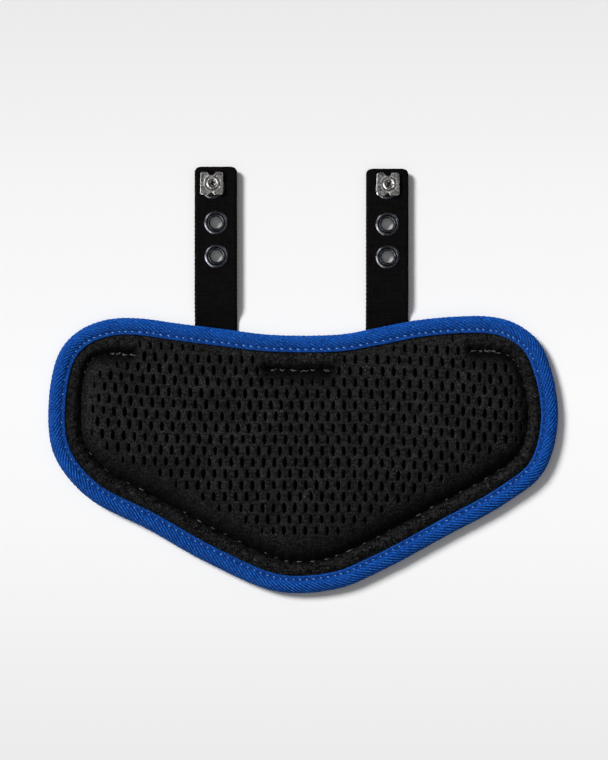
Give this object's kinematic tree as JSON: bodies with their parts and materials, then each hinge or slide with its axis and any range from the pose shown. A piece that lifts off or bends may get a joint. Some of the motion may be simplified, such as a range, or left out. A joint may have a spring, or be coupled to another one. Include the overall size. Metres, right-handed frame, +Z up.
{
  "type": "football back plate",
  "caption": "Wide padded back plate with a mesh face, a folded binding and webbing straps with eyelets and nut plates.",
  "frame": {"origin": "on the surface that the plate lies on, under the middle of the whole object", "axes": "+Z up out of the mesh face, +Y towards the free ends of the straps, +X to the right with the mesh face up"},
  "size_m": [0.3056, 0.2558, 0.015],
  "materials": {
    "spacer_mesh": "matt black knitted spacer mesh",
    "back_cover": "matt black plain cloth",
    "twill_binding": "royal blue ribbed twill",
    "webbing": "black polyester webbing",
    "gunmetal": "dark plated, half bright",
    "nickel": "bright nickel plated"
  },
  "bodies": {
    "root": {"mesh_face": "spacer_mesh", "pad_body": "back_cover", "edge_binding": "twill_binding", "strap_left": "webbing", "strap_right": "webbing", "eyelet_left_1": "gunmetal", "eyelet_left_2": "gunmetal", "eyelet_left_3": "gunmetal", "eyelet_right_1": "gunmetal", "eyelet_right_2": "gunmetal", "eyelet_right_3": "gunmetal", "nut_plate_left": "nickel", "nut_plate_right": "nickel", "screw_left": "nickel", "screw_right": "nickel"}
  },
  "joints": []
}
